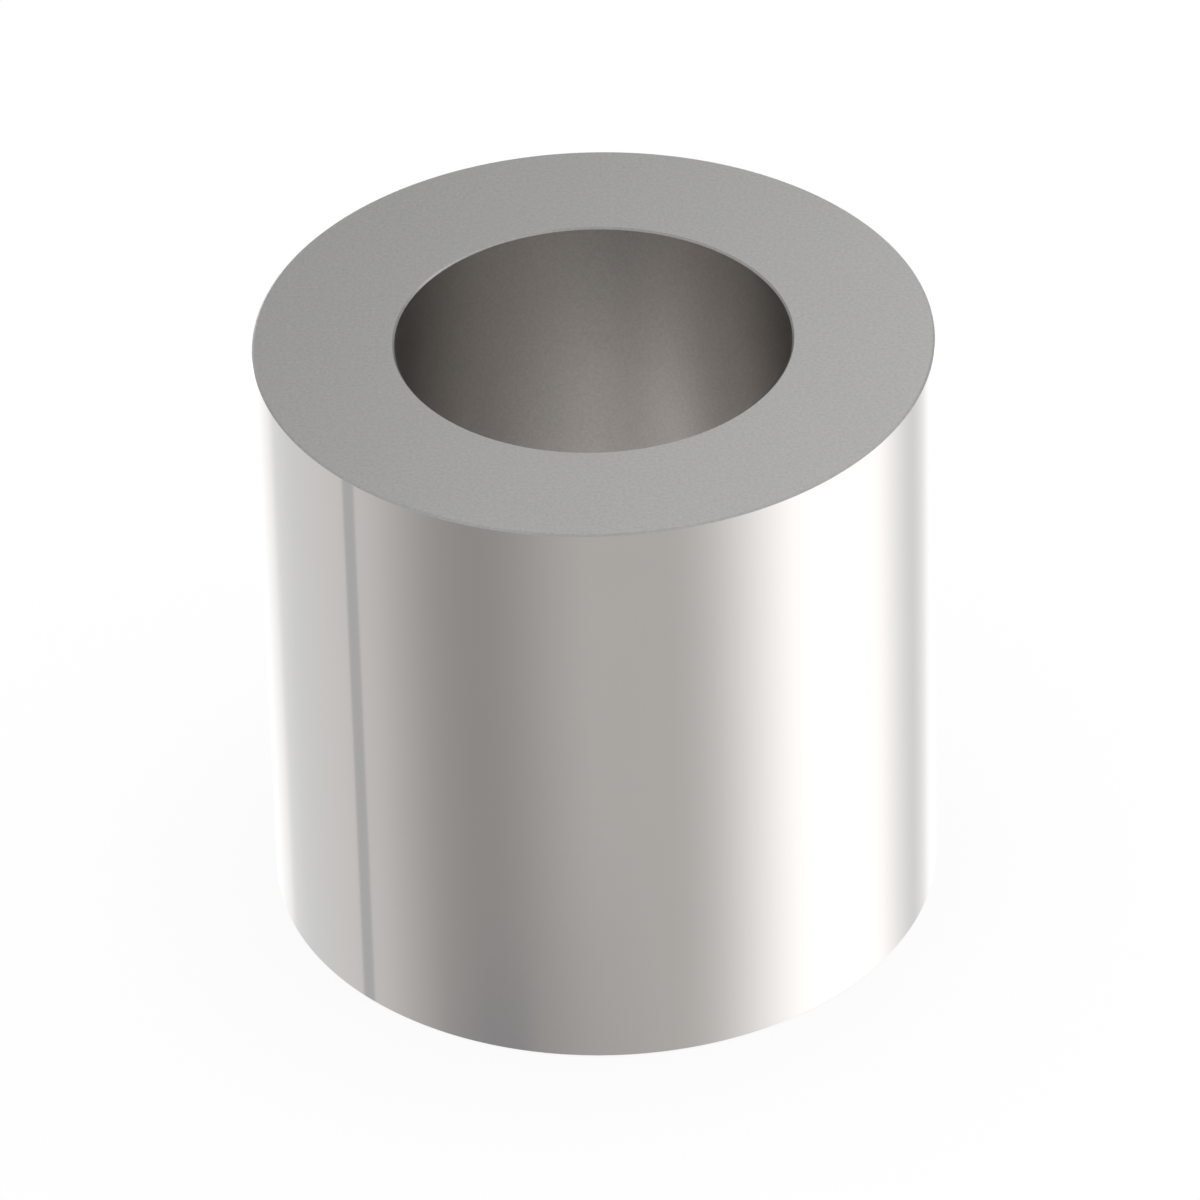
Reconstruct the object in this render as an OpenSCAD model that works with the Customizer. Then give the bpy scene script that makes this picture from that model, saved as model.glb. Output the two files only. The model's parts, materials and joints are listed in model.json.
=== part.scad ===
// Plain thick-walled bushing, turned in one piece from bar: a straight outside wall, a
// straight through bore and two flat end faces, with only its burrs taken off the edges.
// It stands on one end. The origin is the centre of the foot, and +Z runs up the bore.

/* [Sleeve] */
// Outside diameter of the wall
outer_d = 18; // [14:0.5:40]
// Diameter of the through bore
bore_d = 10.5; // [3:0.5:12]
// Length between the two end faces
length = 17; // [4:0.5:60]

/* [Broken edges] */
// Width of the 45 degree break round the outside of each end
rim_break = 0.05; // [0.02:0.01:0.4]
// Width of the 45 degree break at each mouth of the bore
mouth_break = 0.05; // [0.02:0.01:0.4]

/* [Hidden] */

// Facets round the part in a preview
round_facets = 180;
// Tone of the bare steel
steel = [0.66, 0.655, 0.645];

outer_r = outer_d / 2;
bore_r = bore_d / 2;

// Half section of the sleeve, with the radius along X and the height along Y.
// It runs along the foot, up the outside wall, across the top and down the bore.
module wall_section() {
    polygon([
        [bore_r + mouth_break, 0],
        [outer_r - rim_break, 0],
        [outer_r, rim_break],
        [outer_r, length - rim_break],
        [outer_r - rim_break, length],
        [bore_r + mouth_break, length],
        [bore_r, length - mouth_break],
        [bore_r, mouth_break],
    ]);
}

// The whole part: the section turned once round the bore's axis
module bushing() {
    color(steel)
        rotate_extrude($fn = round_facets)
            wall_section();
}

bushing();
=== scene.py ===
import json
import math
from typing import NamedTuple

import bpy
from bpy.props import FloatProperty, FloatVectorProperty, IntProperty, PointerProperty
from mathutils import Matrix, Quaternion, Vector


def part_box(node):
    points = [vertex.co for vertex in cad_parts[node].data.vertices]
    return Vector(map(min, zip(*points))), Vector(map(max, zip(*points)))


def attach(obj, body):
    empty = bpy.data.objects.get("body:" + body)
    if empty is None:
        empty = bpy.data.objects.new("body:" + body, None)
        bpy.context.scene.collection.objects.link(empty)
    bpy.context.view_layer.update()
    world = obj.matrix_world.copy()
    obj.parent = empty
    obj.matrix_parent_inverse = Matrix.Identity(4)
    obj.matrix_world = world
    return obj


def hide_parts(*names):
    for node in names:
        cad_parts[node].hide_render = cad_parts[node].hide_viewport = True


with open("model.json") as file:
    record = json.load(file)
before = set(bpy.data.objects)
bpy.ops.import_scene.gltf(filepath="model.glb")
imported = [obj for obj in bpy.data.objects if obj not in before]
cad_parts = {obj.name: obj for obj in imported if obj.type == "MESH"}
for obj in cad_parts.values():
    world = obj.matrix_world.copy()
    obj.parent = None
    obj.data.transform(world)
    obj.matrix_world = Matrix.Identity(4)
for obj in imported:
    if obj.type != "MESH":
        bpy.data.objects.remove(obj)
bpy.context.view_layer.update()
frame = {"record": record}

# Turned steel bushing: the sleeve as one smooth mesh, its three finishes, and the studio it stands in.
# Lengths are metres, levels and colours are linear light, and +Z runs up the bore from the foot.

bl_info = {
    "name": "Bushing",
    "version": (1, 0, 0),
    "blender": (4, 5, 0),
    "location": "View3D > Sidebar > Bushing",
    "description": "Turns a plain steel bushing and sets up the studio it stands in",
    "category": "Object",
}

NODE = "bushing"
BODY = "root"
PIECE = "turned_sleeve"

MILLIMETRE = 0.001
FOOT_CORNER, TOP_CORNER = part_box(NODE)
LENGTH = TOP_CORNER.z - FOOT_CORNER.z
MOUNTS = {mount["name"]: mount["dims"] for mount in frame["record"]["mounts"]}
OUTER_RADIUS = MOUNTS["outside_wall"]["r_mm"] * MILLIMETRE
BORE_RADIUS = MOUNTS["bore"]["r_mm"] * MILLIMETRE
RIM_BREAK = (LENGTH - MOUNTS["outside_wall"]["length_mm"] * MILLIMETRE) / 2
MOUTH_BREAK = (LENGTH - MOUNTS["bore"]["length_mm"] * MILLIMETRE) / 2

WHITE = (1.0, 1.0, 1.0, 1.0)
FLOOR_PAINT = (0.95, 0.95, 0.95, 1.0)
# The floor lies this far below the foot, so that the two don't share a plane.
FLOOR_GAP = 0.02 * MILLIMETRE

# Upward share of a face's normal: above FLAT on an end face, below UPRIGHT on the wall and in the bore, and
# between them on a broken edge.
FLAT = 0.9
UPRIGHT = 0.1
# Edges that turn by more than this stay crisp when the sleeve is shaded smooth.
CRISP = math.radians(30)
# Points nearer than MERGE become one, and an edge within SLACK of a radius lies on it.
MERGE = 0.001 * MILLIMETRE
SLACK = 0.01 * MILLIMETRE

LENS_MM = 300
SENSOR_MM = 36
NEAR_CLIP = 0.01
FAR_CLIP = 10.0


class SleeveSizes(bpy.types.PropertyGroup):
    """Sizes of the sleeve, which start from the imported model's own"""

    outer_radius: FloatProperty(
        name="Outside radius",
        description="Radius of the outside wall",
        default=OUTER_RADIUS,
        min=0.001,
        unit="LENGTH",
    )
    bore_radius: FloatProperty(
        name="Bore radius",
        description="Radius of the through bore",
        default=BORE_RADIUS,
        min=0.0005,
        unit="LENGTH",
    )
    length: FloatProperty(
        name="Length",
        description="Length between the two end faces",
        default=LENGTH,
        min=0.001,
        unit="LENGTH",
    )
    rim_break: FloatProperty(
        name="Rim break",
        description="Width of the 45 degree break at the outside rims",
        default=RIM_BREAK,
        min=0,
        unit="LENGTH",
    )
    mouth_break: FloatProperty(
        name="Mouth break",
        description="Width of the 45 degree break at the bore's mouths",
        default=MOUTH_BREAK,
        min=0,
        unit="LENGTH",
    )
    sides: IntProperty(
        name="Sides",
        description="Number of faces round the sleeve",
        default=256,
        min=32,
        max=1024,
    )


class SleeveFinish(bpy.types.PropertyGroup):
    """Colour and surface of the bare steel"""

    steel: FloatVectorProperty(
        name="Steel",
        description="Colour of the bare steel",
        default=frame["record"]["materials"][0]["base_color"][:3],
        size=3,
        subtype="COLOR",
        min=0,
        max=1,
    )
    wall_roughness: FloatProperty(
        name="Wall",
        description="Roughness of the bright outside wall",
        default=0.07,
        min=0,
        max=1,
        subtype="FACTOR",
    )
    face_roughness: FloatProperty(
        name="End faces",
        description="Roughness of the satin end faces",
        default=0.40,
        min=0,
        max=1,
        subtype="FACTOR",
    )
    bore_roughness: FloatProperty(
        name="Bore",
        description="Roughness of the reamed bore and its mouths",
        default=0.31,
        min=0,
        max=1,
        subtype="FACTOR",
    )


class StudioLevels(bpy.types.PropertyGroup):
    """Camera, lamps and floor of the studio"""

    camera_distance: FloatProperty(
        name="Camera distance",
        description="From the camera to the part's middle",
        default=0.26846,
        unit="LENGTH",
    )
    camera_elevation: FloatProperty(
        name="Camera elevation",
        description="Height of the camera above the horizon",
        default=math.radians(35.65),
        subtype="ANGLE",
    )
    camera_roll: FloatProperty(
        name="Camera roll",
        description="Lean of the camera about its own line of sight",
        default=math.radians(-1.473),
        subtype="ANGLE",
    )
    floor_side: FloatProperty(
        name="Floor side",
        description="Side of the square floor",
        default=2.0,
        unit="LENGTH",
    )
    floor_glow: FloatProperty(
        name="Floor glow",
        description="Share of the floor's white that no shadow reaches",
        default=0.90,
        min=0,
        max=1,
        subtype="FACTOR",
    )
    top_lamp_power: FloatProperty(
        name="Top lamp",
        description="Power of the wide lamp overhead, which lights the floor",
        default=2.0,
        min=0,
        unit="POWER",
    )
    soft_box_power: FloatProperty(
        name="Soft box",
        description="Power of the soft box above, behind and to the right",
        default=0.054,
        min=0,
        unit="POWER",
    )


class Lamp(NamedTuple):
    """A square lamp: its name, its place and its side"""

    name: str
    place: tuple
    side: float


TOP_LAMP = Lamp("top_lamp", (0, 0, 0.6), 0.5)
SOFT_BOX = Lamp("soft_box", (0.041, 0.047, 0.1315), 0.166)


# Angles round and above the part, in degrees.
HALF_TURN = 180.0
STRAIGHT_DOWN = -90.0
STRAIGHT_UP = 90.0


class Card(NamedTuple):
    """A soft-edged card or lamp front that hangs round the part and shows in its reflections.

    Angles are in degrees. Azimuth is measured round from the camera's own direction towards its right, and
    edge is the softness of the two sides. The card hangs between the elevations low and top, and lip is the
    softness of those. Cover is how much of what hangs behind it the card hides."""

    name: str
    azimuth: float
    half_width: float
    edge: float
    colour: tuple
    cover: float = 1.0
    low: float = STRAIGHT_DOWN
    top: float = STRAIGHT_UP
    lip: float = 4.0


# Half width of a card that hangs all the way round: more than half a turn, so that its soft sides overlap.
ALL_ROUND = 200

# A bright wall shows nothing but what stands round it. Each card hangs before those that come earlier.
CARDS = (
    Card("right lamp", 87, 46, 58, (1.67, 1.62, 1.60), top=-27, lip=3),
    Card("back lamp", 180, 16, 8, (1.45, 1.42, 1.40), top=-22),
    Card("left back lamp", -156, 13, 4, (1.21, 1.20, 1.20), top=-22),
    Card("right back lamp", 152, 2, 21, (1.59, 1.57, 1.58), top=-22),
    Card("left card", -115, 25, 19, (0.84, 0.84, 0.83)),
    Card("warm card", -90, 24, 10, (0.83, 0.80, 0.79)),
    Card("front card", -17, 66, 28, (0.61, 0.58, 0.56)),
    Card("dark card", -43, 22, 21, (0.40, 0.38, 0.37)),
    Card("right flag", 135.5, 13, 17, (0.85, 0.85, 0.84)),
    Card("left low net", -53, 9, 6, (0.04, 0.13, 0.26), cover=0.15, low=-42, top=-38.1, lip=0.12),
    Card("middle low net", -37, 9, 6, (0.04, 0.13, 0.26), cover=0.17, low=-42, top=-38.0, lip=0.15),
    Card("right low net", -11, 21, 19, (0.04, 0.08, 0.12), cover=0.17, low=-42, top=-37.6, lip=0.5),
    Card("left slit", -93.3, 2.7, 0.4, (0.56, 0.56, 0.56), low=-43, top=-30, lip=1),
    Card("right window", 87, 36, 30, (1.20, 1.17, 1.16), low=-24, top=8),
    Card("low shade", 0, ALL_ROUND, 1, (0.10, 0.10, 0.10), cover=0.35, top=-44),
    Card("ceiling", 0, ALL_ROUND, 1, (0.50, 0.50, 0.50), low=10, lip=8),
    Card("back flag", 180, 60, 25, (0.60, 0.60, 0.60), low=-25, top=10),
    Card("back window", -160, 16, 14, (1.10, 1.08, 1.07), low=-22, top=-4),
    Card("back ceiling", 180, 60, 25, (0.28, 0.28, 0.28), low=5, top=75),
)


class Surface(NamedTuple):
    """What sets one machined surface of the steel apart from the others.

    Shade tint is a share of the steel's colour for each channel. Below 1 it is painted shade, which colours a
    surface darker and warmer where shade falls in the bore. Grain spread is how far the colour strays to
    either side, and rough spread how far the roughness does, each as a share of itself. Sizes and heights are
    in millimetres. Lay is how many marks a millimetre holds along each axis, so that a large third value lays
    them round the bore."""

    name: str
    shade_tint: tuple
    rough_spread: float
    grain_size: float
    grain_spread: float
    grain_height: float
    lay: tuple
    lay_height: float


PLAIN = (1.0, 1.0, 1.0)
# Painted shade: the bore is coloured a little darker and warmer than the rest, where shade falls inside it.
BORE_PAINTED_SHADE = (0.90, 0.88, 0.87)
WALL = Surface("bright_ground_wall", PLAIN, 0.15, 0.06, 0.004, 0.00006, (0.3, 0.3, 20.0), 0.00005)
END_FACE = Surface("satin_end_face", PLAIN, 0.15, 0.09, 0.15, 0.0012, (12.0, 12.0, 12.0), 0.0008)
# The bore and its mouths carry this painted shade in their colour.
BORE = Surface("reamed_bore", BORE_PAINTED_SHADE, 0.03, 0.08, 0.16, 0.0004, (0.3, 0.3, 6.0), 0.0001)
# Slow clouds of tone lie over every surface: their size in millimetres, and how far they stray as a share.
CLOUD_SIZE = 3.0
CLOUD_SPREAD = 0.012
# Layers of ever finer noise in the grain and the clouds, and in the marks of the machining.
GRAIN_DETAIL = 2.0
MARK_DETAIL = 3.0
# Nearly all of a noise's values lie between these two.
NOISE_LOW = 0.3
NOISE_HIGH = 0.7


class Graph:
    """A short way to add and join nodes in one node tree"""

    def __init__(self, owner):
        owner.use_nodes = True
        self.tree = owner.node_tree
        self.tree.nodes.clear()

    def node(self, kind, inputs=None, **settings):
        """Adds a node, sets its settings, and joins or sets each of its inputs by name or number."""
        made = self.tree.nodes.new(kind)
        for key, value in settings.items():
            setattr(made, key, value)
        for key, value in (inputs or {}).items():
            if isinstance(value, bpy.types.NodeSocket):
                self.tree.links.new(value, made.inputs[key])
            else:
                made.inputs[key].default_value = value
        return made

    def math(self, operation, *values):
        """Adds a Math node and returns its result."""
        return self.node("ShaderNodeMath", dict(enumerate(values)), operation=operation).outputs[0]

    def mix(self, factor, first, second):
        """Adds a colour mix and returns its result."""
        inputs = {"Factor": factor, "A": first, "B": second}
        return self.node("ShaderNodeMix", inputs, data_type="RGBA").outputs["Result"]

    def blend(self, factor, first, second):
        """Adds a shader mix and returns its result."""
        return self.node("ShaderNodeMixShader", dict(enumerate((factor, first, second)))).outputs[0]

    def map_range(self, value, start, end, low, high, **settings):
        """Maps the span from start to end onto the span from low to high and returns the result."""
        inputs = {"Value": value, "From Min": start, "From Max": end, "To Min": low, "To Max": high}
        return self.node("ShaderNodeMapRange", inputs, **settings).outputs["Result"]

    def fade(self, value, full, gone):
        """Adds a smooth step that is 1 where value is at full and 0 where it is at gone."""
        return self.map_range(value, gone, full, 0.0, 1.0, interpolation_type="SMOOTHSTEP")

    def noise(self, place, scale, detail):
        """Adds a noise over a place and returns its value."""
        return self.node("ShaderNodeTexNoise", {"Vector": place, "Scale": scale, "Detail": detail}).outputs[0]

    def bump(self, height, millimetres, under=None):
        """Adds a bump so many millimetres high, over another where one is given, and returns its normal."""
        inputs = {"Strength": 1.0, "Distance": millimetres * MILLIMETRE, "Height": height}
        if under is not None:
            inputs["Normal"] = under
        return self.node("ShaderNodeBump", inputs).outputs[0]


def opaque(colour):
    """A colour with full alpha, as a node's socket takes it."""
    return (*colour, 1.0)


def deselect_all():
    """Leaves edit mode and selects nothing, so that the next operator acts only on what it makes."""
    if bpy.context.object and bpy.context.object.mode != "OBJECT":
        bpy.ops.object.mode_set(mode="OBJECT")
    bpy.ops.object.select_all(action="DESELECT")


def select_faces(wanted):
    """Selects in edit mode exactly the faces for which wanted(centre, normal) is true."""
    bpy.ops.mesh.select_mode(type="FACE")
    bpy.ops.mesh.select_all(action="DESELECT")
    bpy.ops.object.mode_set(mode="OBJECT")
    for polygon in bpy.context.object.data.polygons:
        polygon.select = wanted(polygon.center, polygon.normal)
    bpy.ops.object.mode_set(mode="EDIT")


def select_rings(radius):
    """Selects in edit mode the edges that run round the two ends at one radius."""
    bpy.ops.mesh.select_mode(type="EDGE")
    bpy.ops.mesh.select_all(action="DESELECT")
    bpy.ops.object.mode_set(mode="OBJECT")
    mesh = bpy.context.object.data
    for edge in mesh.edges:
        ends = [mesh.vertices[index].co for index in edge.vertices]
        level = abs(ends[0].z - ends[1].z) < SLACK
        edge.select = level and all(abs(end.xy.length - radius) < SLACK for end in ends)
    bpy.ops.object.mode_set(mode="EDIT")


def steel_material(finish, roughness, surface):
    """Bare steel with a fine grain, slow clouds of tone and the marks of its machining."""
    material = bpy.data.materials.new(surface.name)
    graph = Graph(material)
    place = graph.node("ShaderNodeTexCoord").outputs["Object"]
    to_mm = {"Vector": place, "Scale": 1 / MILLIMETRE}
    in_mm = graph.node("ShaderNodeVectorMath", to_mm, operation="SCALE").outputs[0]
    laid = graph.node("ShaderNodeMapping", {"Vector": in_mm, "Scale": surface.lay}).outputs[0]
    grain = graph.noise(in_mm, 1 / surface.grain_size, GRAIN_DETAIL)
    cloud = graph.noise(in_mm, 1 / CLOUD_SIZE, GRAIN_DETAIL)
    marks = graph.noise(laid, 1.0, MARK_DETAIL)
    spread = surface.grain_spread + CLOUD_SPREAD
    clouds = graph.math("MULTIPLY", cloud, CLOUD_SPREAD / spread)
    tone = graph.math("MULTIPLY_ADD", grain, surface.grain_spread / spread, clouds)
    # A shade tint below 1 paints shade into the steel's colour, as in the bore.
    steel = [level * share for level, share in zip(finish.steel, surface.shade_tint)]
    darkest = opaque([level * (1 - spread) for level in steel])
    lightest = opaque([level * (1 + spread) for level in steel])
    colour = graph.mix(tone, darkest, lightest)
    smoothest = roughness * (1 - surface.rough_spread)
    roughest = roughness * (1 + surface.rough_spread)
    rough = graph.map_range(marks, NOISE_LOW, NOISE_HIGH, smoothest, roughest)
    relief = graph.bump(marks, surface.lay_height, under=graph.bump(grain, surface.grain_height))
    shading = {"Base Color": colour, "Metallic": 1.0, "Roughness": rough, "Normal": relief}
    metal = graph.node("ShaderNodeBsdfPrincipled", shading).outputs[0]
    graph.node("ShaderNodeOutputMaterial", {"Surface": metal})
    return material


class BUSHING_OT_sleeve(bpy.types.Operator):
    """Turn the sleeve from a bar: bore it through, break its edges and give each surface its finish"""

    bl_idname = "bushing.sleeve"
    bl_label = "Turned sleeve"
    bl_options = {"REGISTER", "UNDO"}

    def execute(self, context):
        sizes = context.scene.bushing_sizes
        finish = context.scene.bushing_finish
        wall = sizes.outer_radius - sizes.bore_radius
        if wall <= sizes.rim_break + sizes.mouth_break:
            raise RuntimeError("the bore leaves no wall between it and the outside")
        deselect_all()
        bpy.ops.mesh.primitive_cylinder_add(
            vertices=sizes.sides,
            radius=sizes.outer_radius,
            depth=sizes.length,
            end_fill_type="NGON",
            location=(0, 0, FOOT_CORNER.z + sizes.length / 2),
        )
        sleeve = context.object
        sleeve.name = sleeve.data.name = PIECE
        bpy.ops.object.transform_apply(location=True, rotation=True, scale=True)
        self.bore_through(sizes, wall)
        self.break_edges(sizes)
        self.smooth()
        self.dress(sleeve, sizes, finish)
        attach(sleeve, BODY)
        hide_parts(NODE)
        return {"FINISHED"}

    def bore_through(self, sizes, wall):
        """Insets both ends by the wall's thickness and bridges what is left into the bore."""
        bpy.ops.object.mode_set(mode="EDIT")
        select_faces(lambda centre, normal: abs(normal.z) > FLAT)
        bpy.ops.mesh.inset(thickness=wall)
        bpy.ops.mesh.bridge_edge_loops()
        bpy.ops.mesh.select_all(action="SELECT")
        bpy.ops.mesh.remove_doubles(threshold=MERGE)
        bpy.ops.mesh.normals_make_consistent(inside=False)

    def break_edges(self, sizes):
        """Breaks the two outside rims and the two mouths of the bore at 45 degrees."""
        for radius, width in ((sizes.outer_radius, sizes.rim_break), (sizes.bore_radius, sizes.mouth_break)):
            select_rings(radius)
            bpy.ops.mesh.bevel(offset=width, segments=1, affect="EDGES")

    def smooth(self):
        """Shades the sleeve smooth all round and keeps the corners of its broken edges crisp."""
        bpy.ops.object.mode_set(mode="OBJECT")
        bpy.ops.object.shade_smooth_by_angle(angle=CRISP)

    def dress(self, sleeve, sizes, finish):
        """Gives the wall, the end faces with their rims, and the bore with its mouths their own finishes; the
        bore's holds painted shade.
        """
        middle = (sizes.outer_radius + sizes.bore_radius) / 2

        def on_wall(centre, normal):
            return abs(normal.z) < UPRIGHT and centre.xy.length > middle

        def in_bore(centre, normal):
            return abs(normal.z) < FLAT and centre.xy.length < middle

        def at_ends(centre, normal):
            return not on_wall(centre, normal) and not in_bore(centre, normal)

        zones = (
            (WALL, finish.wall_roughness, on_wall),
            (END_FACE, finish.face_roughness, at_ends),
            (BORE, finish.bore_roughness, in_bore),
        )
        bpy.ops.object.mode_set(mode="EDIT")
        for index, (surface, roughness, wanted) in enumerate(zones):
            sleeve.data.materials.append(steel_material(finish, roughness, surface))
            sleeve.active_material_index = index
            select_faces(wanted)
            bpy.ops.object.material_slot_assign()
        bpy.ops.object.mode_set(mode="OBJECT")


def card_cover(graph, card, azimuth, elevation):
    """How much of one card a direction meets, from 0 to its cover."""
    turned = graph.math("SUBTRACT", azimuth, card.azimuth)
    aside = graph.math("ABSOLUTE", graph.math("WRAP", turned, HALF_TURN, -HALF_TURN))
    across = graph.fade(aside, card.half_width - card.edge, card.half_width + card.edge)
    share = graph.math("MULTIPLY", across, card.cover)
    if card.top < STRAIGHT_UP:
        share = graph.math("MULTIPLY", share, graph.fade(elevation, card.top - card.lip, card.top + card.lip))
    if card.low > STRAIGHT_DOWN:
        share = graph.math("MULTIPLY", share, graph.fade(elevation, card.low + card.lip, card.low - card.lip))
    return share


def hang_cards(scene):
    """World light: a white backdrop with the cards before it and a grey ceiling above.

    The camera, and anything seen through glass, meets the white backdrop alone."""
    world = bpy.data.worlds.new("studio")
    scene.world = world
    graph = Graph(world)
    direction = graph.node("ShaderNodeTexCoord").outputs["Generated"]
    axes = graph.node("ShaderNodeSeparateXYZ", {"Vector": direction}).outputs
    towards_camera = graph.math("MULTIPLY", axes["Y"], -1.0)
    azimuth = graph.math("DEGREES", graph.math("ARCTAN2", axes["X"], towards_camera))
    elevation = graph.math("DEGREES", graph.math("ARCSINE", axes["Z"]))
    light = WHITE
    for card in CARDS:
        light = graph.mix(card_cover(graph, card, azimuth, elevation), light, opaque(card.colour))
    rays = graph.node("ShaderNodeLightPath").outputs
    backdrop = graph.math("MAXIMUM", rays["Is Camera Ray"], rays["Is Transmission Ray"])
    light = graph.mix(backdrop, light, WHITE)
    background = graph.node("ShaderNodeBackground", {"Color": light, "Strength": 1.0})
    graph.node("ShaderNodeOutputWorld", {"Surface": background.outputs[0]})


def floor_material(levels):
    """White floor that keeps a faint shadow and isn't seen from beneath."""
    material = bpy.data.materials.new("white_floor")
    graph = Graph(material)
    matt = graph.node("ShaderNodeBsdfDiffuse", {"Color": FLOOR_PAINT}).outputs[0]
    glow = graph.node("ShaderNodeEmission", {"Color": WHITE, "Strength": 1.0}).outputs[0]
    rays = graph.node("ShaderNodeLightPath").outputs
    mirrored = graph.math("MAXIMUM", rays["Is Glossy Ray"], rays["Is Transmission Ray"])
    seen = graph.math("MAXIMUM", rays["Is Camera Ray"], mirrored)
    share = graph.math("MULTIPLY", seen, levels.floor_glow)
    lit = graph.blend(share, matt, glow)
    clear = graph.node("ShaderNodeBsdfTransparent").outputs[0]
    beneath = graph.node("ShaderNodeNewGeometry").outputs["Backfacing"]
    graph.node("ShaderNodeOutputMaterial", {"Surface": graph.blend(beneath, lit, clear)})
    return material


def hang_lamp(lamp, aim, power):
    """Hangs a lamp at its place, turned towards what it lights, and unseen by the camera."""
    turn = (aim - Vector(lamp.place)).to_track_quat("-Z", "Y").to_euler()
    deselect_all()
    bpy.ops.object.light_add(type="AREA", location=lamp.place, rotation=turn)
    hung = bpy.context.object
    hung.name = hung.data.name = lamp.name
    hung.data.shape = "SQUARE"
    hung.data.size = lamp.side
    hung.data.energy = power
    hung.visible_camera = False
    return hung


class BUSHING_OT_studio(bpy.types.Operator):
    """Lay the pale floor, hang the lamps and cards, and set the camera"""

    bl_idname = "bushing.studio"
    bl_label = "Studio"
    bl_options = {"REGISTER", "UNDO"}

    def execute(self, context):
        levels = context.scene.bushing_levels
        sizes = context.scene.bushing_sizes
        middle = Vector((0, 0, FOOT_CORNER.z + sizes.length / 2))
        self.lay_floor(levels)
        hang_cards(context.scene)
        overhead = hang_lamp(TOP_LAMP, middle, levels.top_lamp_power)
        overhead.visible_glossy = False
        hang_lamp(SOFT_BOX, middle, levels.soft_box_power)
        self.set_camera(context.scene, levels, middle)
        return {"FINISHED"}

    def lay_floor(self, levels):
        """Lays the floor, which takes the part's shadow.

        The floor is hidden from the metal's reflections and throws no shadow itself, so that the cards that
        hang below the horizon light the part."""
        deselect_all()
        bpy.ops.mesh.primitive_plane_add(size=levels.floor_side, location=(0, 0, FOOT_CORNER.z - FLOOR_GAP))
        floor = bpy.context.object
        floor.name = floor.data.name = "floor"
        floor.data.materials.append(floor_material(levels))
        floor.visible_glossy = False
        floor.visible_shadow = False

    def set_camera(self, scene, levels, middle):
        """Sets a long lens on the part's middle, from in front and above."""
        back = Vector((0, -math.cos(levels.camera_elevation), math.sin(levels.camera_elevation)))
        turn = (-back).to_track_quat("-Z", "Y") @ Quaternion((0, 0, 1), levels.camera_roll)
        deselect_all()
        bpy.ops.object.camera_add(location=middle + back * levels.camera_distance, rotation=turn.to_euler())
        camera = bpy.context.object
        camera.name = camera.data.name = "camera"
        camera.data.sensor_width = SENSOR_MM
        camera.data.lens = LENS_MM
        camera.data.clip_start = NEAR_CLIP
        camera.data.clip_end = FAR_CLIP
        scene.camera = camera
        scene.view_settings.view_transform = "Standard"


class BUSHING_PT_panel(bpy.types.Panel):
    """Lists the bushing's sizes, finishes and studio"""

    bl_idname = "BUSHING_PT_panel"
    bl_label = "Bushing"
    bl_space_type = "VIEW_3D"
    bl_region_type = "UI"
    bl_category = "Bushing"

    def draw(self, context):
        for group, operator in (
            (context.scene.bushing_sizes, None),
            (context.scene.bushing_finish, BUSHING_OT_sleeve.bl_idname),
            (context.scene.bushing_levels, BUSHING_OT_studio.bl_idname),
        ):
            column = self.layout.column(align=True)
            for name in group.__annotations__:
                column.prop(group, name)
            if operator:
                self.layout.operator(operator)


CLASSES = (SleeveSizes, SleeveFinish, StudioLevels, BUSHING_OT_sleeve, BUSHING_OT_studio, BUSHING_PT_panel)


def register():
    for cls in CLASSES:
        bpy.utils.register_class(cls)
    bpy.types.Scene.bushing_sizes = PointerProperty(type=SleeveSizes)
    bpy.types.Scene.bushing_finish = PointerProperty(type=SleeveFinish)
    bpy.types.Scene.bushing_levels = PointerProperty(type=StudioLevels)


def unregister():
    del bpy.types.Scene.bushing_levels
    del bpy.types.Scene.bushing_finish
    del bpy.types.Scene.bushing_sizes
    for cls in reversed(CLASSES):
        bpy.utils.unregister_class(cls)


def main():
    register()
    bpy.ops.bushing.sleeve()
    bpy.ops.bushing.studio()


if __name__ == "__main__":
    main()
